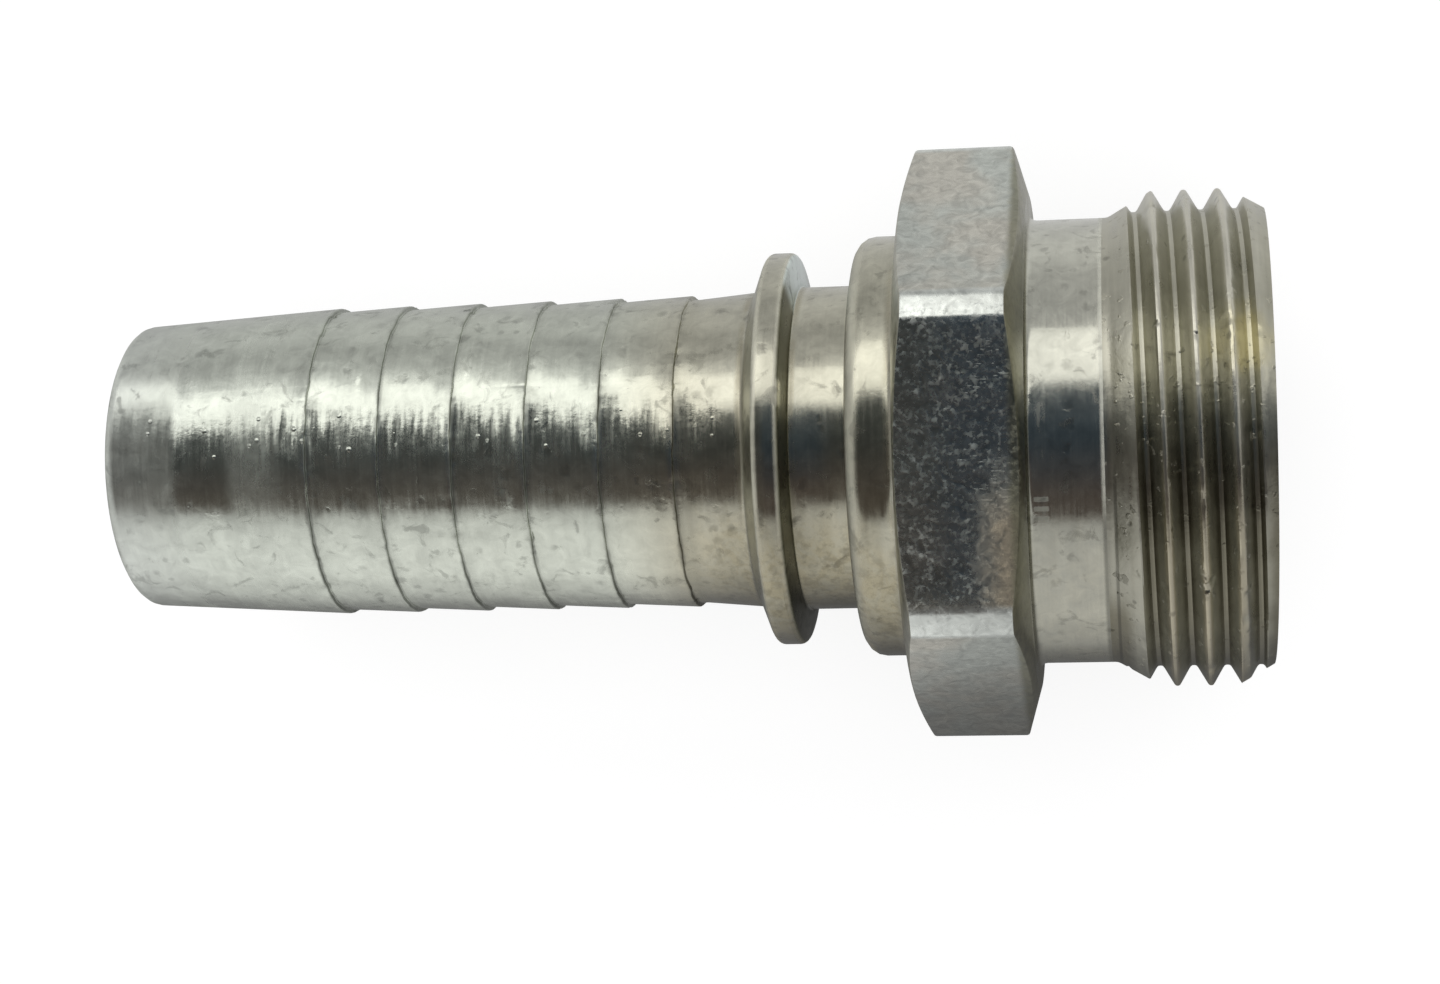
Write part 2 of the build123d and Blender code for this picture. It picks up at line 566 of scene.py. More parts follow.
# Rows follow the helix, so that crests and roots stay sharp. They gain one pitch in a turn, and
# both ends are held at the undercut's edge and at the end face.
def threadTree():
    dents = threadDents
    tree, given = newTree("maleThread", thread)
    pitch, endStation, fillet = given["Pitch"], given["End face"], given["Undercut fillet"]
    rowStep = calc("DIVIDE", pitch, given["Rows per pitch"])
    start = less(endStation, times(given["Start row"], rowStep))
    rows = plus(plus(given["Start row"], given["Rows per pitch"]), 1.0)
    mesh, row, column = gridOfRows(rows)
    angle, _ = columnAngle(column)
    turns = calc("DIVIDE", angle, 2 * pi)
    onHelix = mulAdd(row, rowStep, less(start, pitch))
    onHelix = mulAdd(turns, pitch, onHelix)
    cornerShade = calc("MAXIMUM", start, calc("MINIMUM", endStation, onHelix))

    # the profile: a flat crest an eighth of the pitch wide, 60 degree flanks and a soft root
    crestStation = mulAdd(turns, pitch, given["Crest station"])
    phase = calc("WRAP", less(cornerShade, crestStation), times(pitch, 0.5), times(pitch, -0.5))
    flank = less(calc("ABSOLUTE", phase), calc("DIVIDE", pitch, 16.0))
    flank = calc("SMOOTH_MAX", flank, 0.0, given["Crest softness"])
    cut = mulAdd(flank, -1 / tan(radians(30)), given["Major radius"])
    cut = calc("SMOOTH_MAX", cut, given["Root radius"], given["Root softness"])

    # the blank it is cut in: a lead cone up from the undercut, and a chamfer at the end
    slope = calc("TANGENT", calc("RADIANS", given["Lead angle"]))
    fromStart = less(cornerShade, start)
    leadIn = mulAdd(less(fromStart, fillet), slope, given["Undercut radius"])
    leadIn = calc("SMOOTH_MAX", leadIn, given["Undercut radius"], times(fillet, slope))
    fromEnd = less(endStation, cornerShade)
    chamferRadius = less(given["Major radius"], given["End chamfer"])
    chamfer = mulAdd(fromEnd, slope, chamferRadius)
    radius = calc("MINIMUM", calc("MINIMUM", leadIn, chamfer), cut)

    # dents and nicks, only in the crests and clear of both ends
    atRadius = dents["patternRadius"]
    place = aroundAxis(cornerShade, atRadius, angle)
    dented = ramp(noise(place, *dents["pattern"]), *dents["from"])
    for station, turn, reach in dents["nicks"]:
        turn = radians(90 - turn)
        away = vectorCalc("DISTANCE", place, (station, atRadius * cos(turn), atRadius * sin(turn)))
        dented = most(dented, ramp(away, reach, reach * dents["nickCore"]))
    clear = times(ramp(fromStart, *dents["clearOfStart"]), ramp(fromEnd, *dents["clearOfEnd"]))
    onCrest = ramp(radius, given["Root radius"], given["Major radius"])
    radius = less(radius, times(dented, clear, given["Dent depth"], onCrest))
    endTree(mesh, aroundAxis(cornerShade, radius, angle), given["Finish"])
    return tree


# One closed object from the separate surfaces, sewn where they meet
def joinedPiece(name, meshes, sharpAngle=28):
    whole = bmesh.new()
    finishes = []
    for mesh in meshes:
        first = len(whole.faces)
        whole.from_mesh(mesh)
        whole.faces.ensure_lookup_table()
        finish = mesh.materials[-1]  # the tree leaves an empty slot before its own
        if finish not in finishes:
            finishes.append(finish)
        for face in whole.faces[first:]:
            face.material_index = finishes.index(finish)
    bmesh.ops.remove_doubles(whole, verts=whole.verts, dist=sewing)
    bmesh.ops.recalc_face_normals(whole, faces=whole.faces)
    openEdges = sum(1 for edge in whole.edges if len(edge.link_faces) != 2)
    volume = whole.calc_volume()
    if volume < 0:
        bmesh.ops.reverse_faces(whole, faces=whole.faces)
    mesh = bpy.data.meshes.new(name)
    whole.to_mesh(mesh)
    whole.free()
    for finish in finishes:
        mesh.materials.append(finish)
    mesh.polygons.foreach_set("use_smooth", [True] * len(mesh.polygons))
    mesh.set_sharp_from_angle(angle=radians(sharpAngle))
    mesh.validate()
    piece = bpy.data.objects.new(name, mesh)
    bpy.context.collection.objects.link(piece)
    triangles = sum(len(p.vertices) - 2 for p in mesh.polygons)
    print("joined", name, triangles, "triangles,", openEdges, "open edges, volume",
          round(volume / mm ** 3), "mm3")
    return piece


def newFinish(name):
    finish = bpy.data.materials.new(name)
    finish.use_nodes = True
    building.tree = finish.node_tree
    return finish, finish.node_tree.nodes["Principled BSDF"]


# The place on the piece in millimetres
def placeOn():
    return scaled(addNode("ShaderNodeTexCoord").outputs["Object"], 1 / mm)


# The place whole and by axis, with its distance from X
def finishPlace():
    place = placeOn()
    x, y, z = separate(place)
    return place, x, y, z, vectorCalc("LENGTH", combine(0.0, y, z))


# Degrees round X from straight up towards +Y
def turnAngle(y, z):
    return calc("DEGREES", calc("ARCTAN2", y, z))


# One noise for each of a finish's patterns
def patterns(place, look):
    return [noise(place, *shape) for shape in look["patterns"].values()]


# How near a place is to any of the turned edges, each given by station, radius and reach
def nearEdges(x, radius, edges, core=0.35):
    place = combine(x, radius)
    near = 0.0
    for station, edgeRadius, reach in edges:
        away = vectorCalc("DISTANCE", place, (station, edgeRadius, 0.0))
        near = most(near, ramp(away, reach, reach * core))
    return near


endFaces = {  # colours of the faces that look along X; the thread side's is darker as painted shade
    "squareFrom": (0.45, 0.9),
    "shadedThreadSide": (0.26, 0.253, 0.187),
    "tipSide": (0.46, 0.455, 0.38),
}


# How squarely a face looks along X, from 0 for a flat or a turned length to 1 for an end face,
# and the colour of an end face on its side, darker on the thread side as painted shade
def faceTurn():
    alongX = separate(addNode("ShaderNodeNewGeometry").outputs["Normal"])[0]
    square = ramp(calc("ABSOLUTE", alongX), *endFaces["squareFrom"])
    shadedThreadSide = ramp(alongX, *endFaces["squareFrom"])
    return square, mixColour(shadedThreadSide, endFaces["tipSide"], endFaces["shadedThreadSide"])


def leaningNormal(y, z, lean):
    normal = addNode("ShaderNodeNewGeometry").outputs["Normal"]
    around = vectorCalc("NORMALIZE", combine(0.0, times(z, -1.0), y))
    return vectorCalc("NORMALIZE", vectorCalc("ADD", normal, scaled(around, lean)))


def bumped(height, depth, normal=None):
    node = addNode("ShaderNodeBump")
    plug(node.inputs["Height"], height)
    node.inputs["Strength"].default_value = 1.0
    node.inputs["Distance"].default_value = depth * mm
    plug(node.inputs["Normal"], normal)
    return node.outputs[0]


# The shader's colour, roughness and normal
def paintShader(shader, colour, tone, rough, smoothest, normal):
    plug(shader.inputs["Base Color"], scaled(colour, tone))
    plug(shader.inputs["Roughness"], most(rough, smoothest))
    plug(shader.inputs["Normal"], normal)


# Patterns are scale, detail, grit, warp and stretch. Four numbers are a window: start, full,
# fading and end. Three in a Line are a middle, how far off it starts and how near it is full.
# Two are where something starts and where it is full, or a factor and a base for a Share.
turnedLook = {
    "patterns": {
        "rings": (1.0, 3.0, 0.6, 0.0, (6.0, 0.22, 0.22)),
        "waves": (1.0, 2.0, 0.55, 0.0, (3.0, 0.42, 0.42)),
        "swells": (1.0, 2.0, 0.5, 0.0, (0.9, 0.10, 0.10)),
        "wear": (0.40, 4.0, 0.6),
        "mottle": (0.9, 3.0, 0.62, 0.8),
        "grain": (3.0, 3.0, 0.6),
        "spots": (0.75, 4.0, 0.6, 0.7),
        "grimeAndShade": (1.6, 4.0, 0.65),
    },
    "outside": (8.2, 8.6),  # radii, which keep the spigot's marks out of the bore
    "onSpigot": (-17.0, -20.0),
    "colours": [
        (-56.5, (0.57, 0.595, 0.555)), (-50.0, (0.575, 0.605, 0.54)), (-26.0, (0.575, 0.60, 0.525)),
        (-21.0, (0.53, 0.52, 0.425)), (-16.0, (0.50, 0.49, 0.405)), (-8.0, (0.485, 0.475, 0.385)),
        (-1.0, (0.52, 0.525, 0.46)), (4.4, (0.54, 0.54, 0.47)),
    ],
    "spotsFrom": (0.57, 0.70),
    "marks": (0.9, 0.42, 0.40),  # scale, size and share of the cells
    "markWarp": (0.8, 0.7),
    "marksFrom": (0.36, 0.56),
    "upper": (12.0, 40.0, 120.0, 165.0),
    "upperFade": -0.45,
    "wornEdges": [
        (-56.1, 8.5, 0.6), (-15.85, 12.1, 0.32), (-14.35, 12.1, 0.32), (-10.2, 12.6, 0.7),
    ],
    "neckEdge": [(4.42, 13.5, 0.3)],  # painted highlight above, painted shade below
    "neckShadeSide": (-8.0, -20.0, 140.0, 165.0),
    # corners of the bead, groove and shoulder, browned as painted shade
    "shadedCorners": [(-16.75, 9.75, 0.6), (-14.0, 9.95, 0.5), (-7.4, 12.9, 0.9)],
    "heldFrom": (0.30, 0.60),
    "cornerShadeShare": 0.6,
    "scuffLine": (15.0, 17.0, 5.0),
    "scuffFrom": (0.60, 0.72),
    # brown of the painted shade on the underside and in the corners
    "stainAndShade": (0.335, 0.305, 0.215),
    "collar": (-24.0, -16.5, -7.2, -5.5),
    "underShadeSway": 30.0,
    "underShadeAngles": (-6.0, -34.0, 130.0, 160.0),
    "underShadeMottle": (0.35, 0.6),
    "underShadeShare": (0.35, 0.65),
    "neckFrom": (-1.0, 0.0),
    "neckRadii": (12.9, 13.3),
    "neckUnderShade": 0.32,  # share of the collar's painted underside shade under the neck
    "faces": (-19.0, -18.0, 1.0, 2.0),
    # the bead's steep face painted lighter on its upper side, and a painted glint on its rim
    "litFaceColour": (0.76, 0.83, 0.81),
    "litFaceAngles": (56.0, 63.0, 95.0, 150.0),
    "litFaceStations": (-15.2, -14.8, -12.0, -11.5),
    "glintAngles": (20.5, 5.0, 2.5),
    "glintEdge": [(-14.2, 12.0, 0.9)],
    "glintColour": (0.90, 0.88, 0.76),
    "bottomShadeAngles": (-30.0, -66.0, 145.0, 175.0),
    "grimeAndShadeFrom": (0.44, 0.64),
    "toneSwings": (0.30, 0.16, 0.56, 0.16),  # wear, rings, mottle, swells
    "toneShades": (-0.26, -0.44, -0.26, 0.14, -0.42, -0.26),  # marks, dirt and painted shade, spots, worn edges and painted highlight, painted bottom shade, grime and painted shade
    "haze": [  # share of dull film over the metal
        (-56.5, 0.06), (-52.1, 0.06), (-51.6, 0.0), (-48.7, 0.0), (-48.0, 0.10), (-45.8, 0.07),
        (-44.6, 0.0), (4.4, 0.0),
    ],
    "wornMetal": -0.35,
    "roughness": [
        (-56.5, 0.34), (-52.1, 0.31), (-51.6, 0.19), (-48.7, 0.19), (-48.0, 0.25), (-45.8, 0.25),
        (-44.6, 0.22), (-25.0, 0.22), (-17.0, 0.19), (-1.0, 0.17), (4.4, 0.16),
    ],
    "boreRoughness": 0.30,
    "smoothest": 0.10,
    "roughSwings": (0.20, 0.10, 0.12),  # rings, wear, mottle
    # dirt and painted shade, worn edges and painted highlight, painted corner shade, spots, scuffed,
    # square, nicked, streak
    "roughMasks": (0.15, 0.20, 0.12, 0.10, 0.04, 0.12, 0.40, 0.16),
    "neckNicks": [-9.6, -12.0, -14.5],  # angles
    "nickReach": (0.8, 0.35),
    "nickLine": (0.8, 0.5, 0.3),
    "streakLine": (0.85, 0.45, 0.1),
    "streakAngleLine": (7.0, 10.0, 5.0),
    "streakFrom": (0.35, 0.65),
    "lean": [  # how far turning marks lean the surface round the axis
        (-56.5, 0.05), (-52.0, 0.06), (-51.0, 0.04), (-48.5, 0.04), (-44.0, 0.11), (-35.0, 0.085),
        (-20.0, 0.065), (-16.0, 0.03), (-1.0, 0.02), (4.4, 0.02),
    ],
    "leanScuffed": (1.8, 0.35),
    "leanSwings": (2.0, 1.6),  # waves, swells
    "swingBefore": (-1.6, -0.4, -0.07),  # phases it grows between, and how much
    "swingPast": (2.4, 0.4, 0.045),
    "swingStations": (-46.5, -45.0, -20.5, -19.5),
    "swingAngles": (2.0, 10.0, 120.0, 160.0),
    "tipLean": 0.15,
    "tipFrom": (-51.6, -52.4),
    "tipAngles": (2.0, 14.0, 30.0, 50.0),
    "fleckLine": (14.0, 10.0, 4.0),
    "flecks": (1.4, 0.24, 0.42),  # scale, size and share of the cells
    "heights": (-1.0, 0.3, 1.6, 7.0),  # marks, grain, scuffed grain, flecks
    "pitDepth": 0.008,
}
barbLineLook = {
    "ragged": (1.3, 3.0, 0.6),
    "broken": (0.35, 2.0, 0.5),
    "brokenFrom": (0.34, 0.58),
    "middle": 0.04,  # of the line, past the edge
    "width": (0.5, -0.02),
    "lineShare": (0.8, 0.2),
    "shadeReach": 0.9,
    "shadeShare": (0.22, 0.08),
    "bandLevel": 0.36,  # of the painted shade band in front of the first edge, beside the collar
    "bandPlaces": (-0.1, 0.0, 0.6, 1.3),  # past that edge
    "blend": 0.1,
    "lineEnd": 1.0,
}


# Distance past the nearest barb edge, in millimetres towards the thread
def barbPhase(x):
    half = spigot["barbPitch"] / 2
    return calc("WRAP", less(x, spigot["firstBarb"]), half, -half)


# A grey line in the corner in front of each barb edge, broken up along the edge: dirt and painted
# shade, with a softer painted shade past it and a painted shade band in front of the first edge
def barbDirtAndShade(x, place):
    grimeAndShade, edge = barbLineLook, spigot["firstBarb"]
    phase = barbPhase(x)
    broken = ramp(noise(place, *grimeAndShade["broken"]), *grimeAndShade["brokenFrom"])
    width = mulAdd(noise(place, *grimeAndShade["ragged"]), *grimeAndShade["width"])
    line = nearLine(phase, grimeAndShade["middle"], width, 0.0)
    line = times(line, mulAdd(broken, *grimeAndShade["lineShare"]))
    shade = times(ramp(phase, grimeAndShade["shadeReach"], 0.0), calc("GREATER_THAN", phase, 0.0),
                  mulAdd(broken, *grimeAndShade["shadeShare"]))
    last = edge - spigot["barbPitch"] * (spigot["barbCount"] - 0.5)
    end, blend = edge + grimeAndShade["lineEnd"], grimeAndShade["blend"]
    barbed = window(x, last - blend, last + blend, end - blend, end)
    band = window(x, *(edge + place for place in grimeAndShade["bandPlaces"]))
    return most(times(most(line, shade), barbed), times(band, grimeAndShade["bandLevel"]))


def turnedZinc():
    look = turnedLook
    finish, shader = newFinish("turnedZinc")
    place, x, y, z, radius = finishPlace()
    angle = turnAngle(y, z)
    rings, waves, swells, wear, mottle, grain, spots, grimeAndShade = patterns(place, look)
    outside = ramp(radius, *look["outside"])
    onSpigot = times(ramp(x, *look["onSpigot"]), outside)
    spots = ramp(spots, *look["spotsFrom"])
    warp = [centred(value, amount) for value, amount in zip((mottle, grain), look["markWarp"])]
    marks = pits(vectorCalc("ADD", place, combine(*warp)), *look["marks"])
    marks = times(marks, ramp(wear, *look["marksFrom"]))

    # dirt and painted shade in front of the barb edges, fainter on top; edges worn lighter, with a
    # painted highlight above and painted shade below the neck's end; painted shade in the collar's
    # corners; and scuffs along the top of the spigot
    upper = window(angle, *look["upper"])
    dirtAndShade = times(barbDirtAndShade(x, place), outside, onePlus(upper, look["upperFade"]))
    neckEdge = nearEdges(x, radius, look["neckEdge"])
    neckShadeSide = beyond(angle, *look["neckShadeSide"])
    # painted shade below the neck's end
    dirtAndShade = most(dirtAndShade, times(neckEdge, neckShadeSide))
    wornAndLit = nearEdges(x, radius, look["wornEdges"])
    # the painted highlight above the neck's end is added to the worn edges
    wornAndLit = most(wornAndLit, times(neckEdge, less(1.0, neckShadeSide)))
    cornerShade = times(nearEdges(x, radius, look["shadedCorners"]), ramp(wear, *look["heldFrom"]))
    scuffed = most(nearLine(angle, *look["scuffLine"]), ramp(wear, *look["scuffFrom"]))
    scuffed = times(scuffed, onSpigot)

    # brown painted shade on the underside, round the collar and under the neck, blotched, and in the
    # corners
    collar = window(x, *look["collar"])
    below = plus(angle, centred(swells, look["underShadeSway"]))
    below = beyond(below, *look["underShadeAngles"])
    blotched = ramp(mottle, *look["underShadeMottle"])
    below = times(below, mulAdd(blotched, *look["underShadeShare"]))
    neck = times(ramp(x, *look["neckFrom"]), ramp(radius, *look["neckRadii"]))
    stainedAndShaded = times(mulAdd(neck, look["neckUnderShade"], collar), below)
    stainedAndShaded = most(stainedAndShaded, times(cornerShade, look["cornerShadeShare"]))
    colour = mixColour(stainedAndShaded, alongLine(x, look["colours"]), look["stainAndShade"])

    # faces that look along X, the thread side painted darker as shade, the bead's steep face painted
    # lighter on its upper side and a painted glint on its rim
    square, faceColour = faceTurn()
    square = times(square, window(x, *look["faces"]))
    litSide = window(angle, *look["litFaceAngles"])
    litSide = times(litSide, window(x, *look["litFaceStations"]))
    glint = nearLine(angle, *look["glintAngles"])
    glint = times(glint, nearEdges(x, radius, look["glintEdge"]))
    faceColour = mixColour(litSide, faceColour, look["litFaceColour"])
    faceColour = mixColour(glint, faceColour, look["glintColour"])
    colour = mixColour(square, colour, faceColour)

    # painted shade, darker towards the bottom of the collar, and grime with painted shade in patches
    # on its underside
    bottomShade = times(collar, beyond(angle, *look["bottomShadeAngles"]))
    grimeAndShade = times(ramp(grimeAndShade, *look["grimeAndShadeFrom"]), collar, below)
    tone = withSwings(1.0, (wear, rings, mottle, swells), look["toneSwings"])
    tone = shaded(tone, (marks, dirtAndShade, spots, wornAndLit, bottomShade, grimeAndShade), look["toneShades"])
    haze = times(alongLine(x, look["haze"]), outside)
    plug(shader.inputs["Metallic"], less(onePlus(wornAndLit, look["wornMetal"]), haze))

    # short nicks and a dull streak beside the hexagon's front face
    nicked = most(*(nearLine(angle, turn, *look["nickReach"]) for turn in look["neckNicks"]))
    nicked = times(nicked, nearLine(x, *look["nickLine"]))
    streak = times(nearLine(x, *look["streakLine"]), ramp(waves, *look["streakFrom"]),
                   nearLine(angle, *look["streakAngleLine"]))
    rough = mixColour(outside, look["boreRoughness"], alongLine(x, look["roughness"]))
    rough = withSwings(rough, (rings, wear, mottle), look["roughSwings"])
    rough = withMasks(rough, (dirtAndShade, wornAndLit, cornerShade, spots, scuffed, square, nicked, streak),
                      look["roughMasks"])

    # the tool left each barb's length turned a little more one way past its edge than before it
    phase = barbPhase(x)
    before, past = (times(ramp(phase, start, full), amount)
                    for start, full, amount in (look["swingBefore"], look["swingPast"]))
    swing = mixColour(calc("GREATER_THAN", phase, 0.0), before, past)
    swung = times(window(x, *look["swingStations"]), window(angle, *look["swingAngles"]), outside)
    tip = times(ramp(x, *look["tipFrom"]), window(angle, *look["tipAngles"]), outside)
    lean = times(alongLine(x, look["lean"]), mulAdd(scuffed, *look["leanScuffed"]),
                 withSwings(0.0, (waves, swells), look["leanSwings"]))
    lean = mulAdd(swing, swung, lean)
    lean = mulAdd(tip, look["tipLean"], lean)

    # pits, grain, and a few sharper flecks along the top of the spigot, which catch the light
    flecks = times(nearLine(angle, *look["fleckLine"]), onSpigot, pits(place, *look["flecks"]))
    height = withMasks(0.0, (marks, grain, times(scuffed, grain), flecks), look["heights"])
    normal = bumped(height, look["pitDepth"], leaningNormal(y, z, lean))
    paintShader(shader, colour, tone, rough, look["smoothest"], normal)
    return finish


hexagonLook = {
    "patterns": {
        "patches": (0.17, 3.0, 0.55, 0.4),
        "rolling": (1.3, 2.0, 0.5, 0.8),
        "clouds": (1.3, 3.0, 0.6, 1.2),
        "curls": (1.4, 1.0, 0.5, 1.4),
        "sparse": (1.0, 2.0, 0.6),
        "dashes": (1.0, 2.0, 0.55, 0.0, (1.3, 7.0, 7.0)),
        "dashPatches": (0.30,),
        "blotches": (3.3, 3.0, 0.66, 0.4),
        "grain": (3.6, 3.0, 0.6),
    },
    "curlWidth": 0.048,
    "curlShare": 0.2,
    "sparseFrom": (0.38, 0.62),
    "dots": (1.4, 0.20, 0.18),  # scale, size and share of the cells
    "dashFrom": (0.58, 0.66),
    "dashPatchFrom": (0.44, 0.60),
    "dashStations": (-5.0, -2.5),
    "dashShare": 0.5,
    "upFace": (15.5, 15.8),  # heights, which pick the flat that looks up
    "sideShare": (0.65, 0.35),  # marks on the other flats are fainter
    "blotchFrom": (0.46, 0.72),
    "blotchShare": (0.6, 0.4),
    "cornerRadii": (17.80, 18.0),
    "patchFrom": (0.38, 0.62),
    "coolColour": (0.49, 0.515, 0.475),
    "warmColour": (0.53, 0.515, 0.455),
    "cornerColour": (0.62, 0.645, 0.61),
    # cooler tint of the flat that looks up, a painted reflection
    "upReflectionColour": (0.43, 0.50, 0.50),
    "upReflectionShare": 0.35,
    "stainAndShade": (0.45, 0.395, 0.30),
    "stainStations": (-3.6, -1.0),
    "stainAcross": (0.4, -4.4),
    "stainWander": (2.2, 10.0),
    "rimAcross": (-6.8, -8.8),
    "rimWander": 2.0,
    "rimShare": 0.5,
    "edging": (-1.05, -0.55),  # a dark line before the front chamfer
    "edgingWander": 0.5,
    "edgingShare": 0.8,
    "edgingColour": (0.21, 0.205, 0.14),
    "toneSwings": (0.30, 0.85),  # rolling, clouds
    # the low side, where the flats and corners are darkened as painted shade
    "low": (-9.5, -16.5),
    "lowCornerShade": (-4.0, -8.0),
    "toneShades": (-0.58, -0.08),  # painted shade on the low flats and on the low corners
    "stainMetal": -0.16,
    "roughness": 0.22,
    "smoothest": 0.12,
    "roughSwings": (0.12, 0.12, 0.16),  # patches, grain, clouds
    "roughMasks": (0.22, 0.15, 0.34, 0.10, 0.12),  # stained, flecks, blotches, square, edging
    "upRelief": 0.9,
    "heights": (1.0, 0.6, 0.5, 0.35),  # rolling, flecks, blotches, grain
    "cornerSmooth": -0.6,
    "faceSmooth": -0.7,
    "reliefDepth": 0.020,
}


def hexagonZinc():
    look = hexagonLook
    finish, shader = newFinish("hexagonZinc")
    place, x, y, z, radius = finishPlace()
    (patches, rolling, clouds, curls, sparse, dashes, dashPatches, blotches,
     grain) = patterns(place, look)
    upFace = ramp(z, *look["upFace"])
    facing = mulAdd(upFace, *look["sideShare"])
    square, faceColour = faceTurn()
    flat = less(1.0, square)
    corner = times(ramp(radius, *look["cornerRadii"]), flat)

    # small curls, dashes and dots left by the drawing of the bar, and duller blotches
    sparse = ramp(sparse, *look["sparseFrom"])
    curls = times(nearLine(curls, 0.5, look["curlWidth"], 0.0), sparse)
    dashes = times(ramp(dashes, *look["dashFrom"]), ramp(dashPatches, *look["dashPatchFrom"]),
                   ramp(x, *look["dashStations"]))
    flecks = most(times(curls, look["curlShare"]), times(dashes, look["dashShare"]),
                  pits(place, *look["dots"]))
    flecks = times(flecks, facing)
    sparseShare = mulAdd(sparse, *look["blotchShare"])
    blotches = times(ramp(blotches, *look["blotchFrom"]), sparseShare, facing)

    # a warm stain towards the front corner of the upper flat
    sideways, across = (centred(value, amount)
                        for value, amount in zip((rolling, patches), look["stainWander"]))
    stainedAndShaded = times(ramp(plus(x, sideways), *look["stainStations"]),
                    ramp(plus(y, across), *look["stainAcross"]))
    rim = plus(y, centred(rolling, look["rimWander"]))
    stainedAndShaded = most(stainedAndShaded, times(ramp(rim, *look["rimAcross"]), look["rimShare"]))
    stainedAndShaded = times(stainedAndShaded, flat, upFace)
    edging = plus(x, centred(rolling, look["edgingWander"]))
    edging = times(ramp(edging, *look["edging"]), flat, less(1.0, corner))

    colour = mixColour(ramp(patches, *look["patchFrom"]), look["coolColour"], look["warmColour"])
    # the flat that looks up is tinted cooler and darker, a painted reflection
    colour = mixColour(times(upFace, look["upReflectionShare"]), colour, look["upReflectionColour"])
    colour = mixColour(stainedAndShaded, colour, look["stainAndShade"])
    colour = mixColour(times(edging, look["edgingShare"]), colour, look["edgingColour"])
    colour = mixColour(corner, colour, look["cornerColour"])
    colour = mixColour(square, colour, faceColour)
    tone = withSwings(1.0, (rolling, clouds), look["toneSwings"])
    # painted shade: flats and corners darker towards the low side
    low = times(ramp(y, *look["low"]), flat)
    lowCornerShade = times(corner, ramp(y, *look["lowCornerShade"]))
    tone = shaded(tone, (low, lowCornerShade), look["toneShades"])
    plug(shader.inputs["Metallic"], onePlus(stainedAndShaded, look["stainMetal"]))
    rough = withSwings(look["roughness"], (patches, grain, clouds), look["roughSwings"])
    rough = withMasks(rough, (stainedAndShaded, flecks, blotches, square, edging), look["roughMasks"])

    relief = times(rolling, onePlus(upFace, look["upRelief"]))
    height = withMasks(0.0, (relief, flecks, blotches, grain), look["heights"])
    height = shaded(height, (corner, square), (look["cornerSmooth"], look["faceSmooth"]))
    normal = bumped(height, look["reliefDepth"])
    paintShader(shader, colour, tone, rough, look["smoothest"], normal)
    return finish


threadLook = {
    "patterns": {
        "rings": (1.0, 3.0, 0.6, 0.0, (5.0, 0.25, 0.25)),
        "waves": (1.0, 2.0, 0.6, 0.0, (2.0, 0.35, 0.35)),
        "wear": (0.45, 4.0, 0.6),
        "speckle": (1.4, 2.0, 0.6),
        "grain": (2.6, 3.0, 0.6),
    },
    "speckleFrom": (0.63, 0.70),
    "marks": (0.9, 0.24, 0.3),  # scale, size and share of the cells
    "radiusWander": 0.4,
    # angles of the underside, darkened as painted shade
    "below": (14.0, -20.0, 130.0, 165.0),
    "rootColour": (0.44, 0.43, 0.35),
    "shadedRootColour": (0.26, 0.245, 0.185),
    "flankColour": (0.50, 0.49, 0.41),
    "flankRadii": (13.75, 14.3),
    "crestColour": (0.60, 0.585, 0.50),
    "shadedCrestColour": (0.57, 0.525, 0.40),
    "crestRadii": (14.55, 14.95),
    "coneStations": (5.95, 5.6),
    "coneAngles": (-46.0, -32.0),
    "gildedColour": (0.66, 0.60, 0.36),
    "gildedPlace": (12.6, 6.9, 12.9),
    "gildedReach": (2.9, 0.8),
    "gildedWander": 5.0,
    "gildedShare": 0.45,
    "grooveShadeLine": (4.95, 0.13, 0.05),  # a fine dark line on the lead cone, painted shade of a fine groove, on the lower side only
    "grooveShadeAngles": (2.0, -10.0),
    "toneSwings": (0.45, 0.30),  # wear, rings
    "toneShades": (-0.35, -0.27, -0.08, -0.40),  # marks, painted shade below, lead cone, painted shade line on the lead cone
    "roughness": 0.31,
    "smoothest": 0.1,
    "roughSwings": (0.2, 0.15),  # wear, rings
    "speckleRoughness": 0.22,
    "lean": 0.16,
    "heights": (-0.5, 0.6, 0.4, 0.5),  # marks, wear, grain, speckle
    "pitDepth": 0.03,
}


